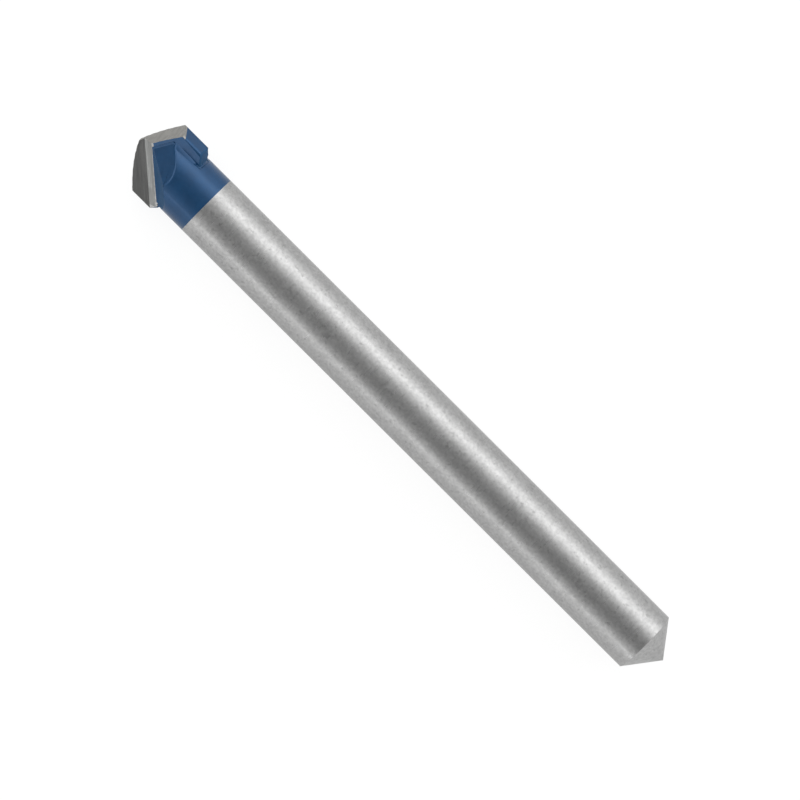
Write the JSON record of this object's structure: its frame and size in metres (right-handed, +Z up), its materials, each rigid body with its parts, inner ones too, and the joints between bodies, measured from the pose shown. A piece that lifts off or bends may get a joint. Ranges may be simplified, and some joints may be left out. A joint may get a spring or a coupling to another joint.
{
  "type": "glass and tile drill bit",
  "caption": "Round-shank drill bit with a ground carbide spear point brazed across a slotted, blue lacquered head, for boring glass and ceramic tile.",
  "frame": {"origin": "on the surface that the bit lies on, under the middle of its bounding box", "axes": "+X runs along the bit from the carbide point to the cone at the rear end, +Z is up from the surface"},
  "size_m": [0.1016, 0.0116, 0.0095],
  "materials": {
    "shank": "ground, with a dark blue lacquer on the first 12.8 mm behind the point",
    "carbide_insert": "dark ground faces on the point, blue lacquer on the wings",
    "braze": "blue lacquer over the filler"
  },
  "bodies": {
    "root": {"shank": "shank", "carbide_insert": "carbide_insert", "braze": "braze"}
  },
  "joints": []
}
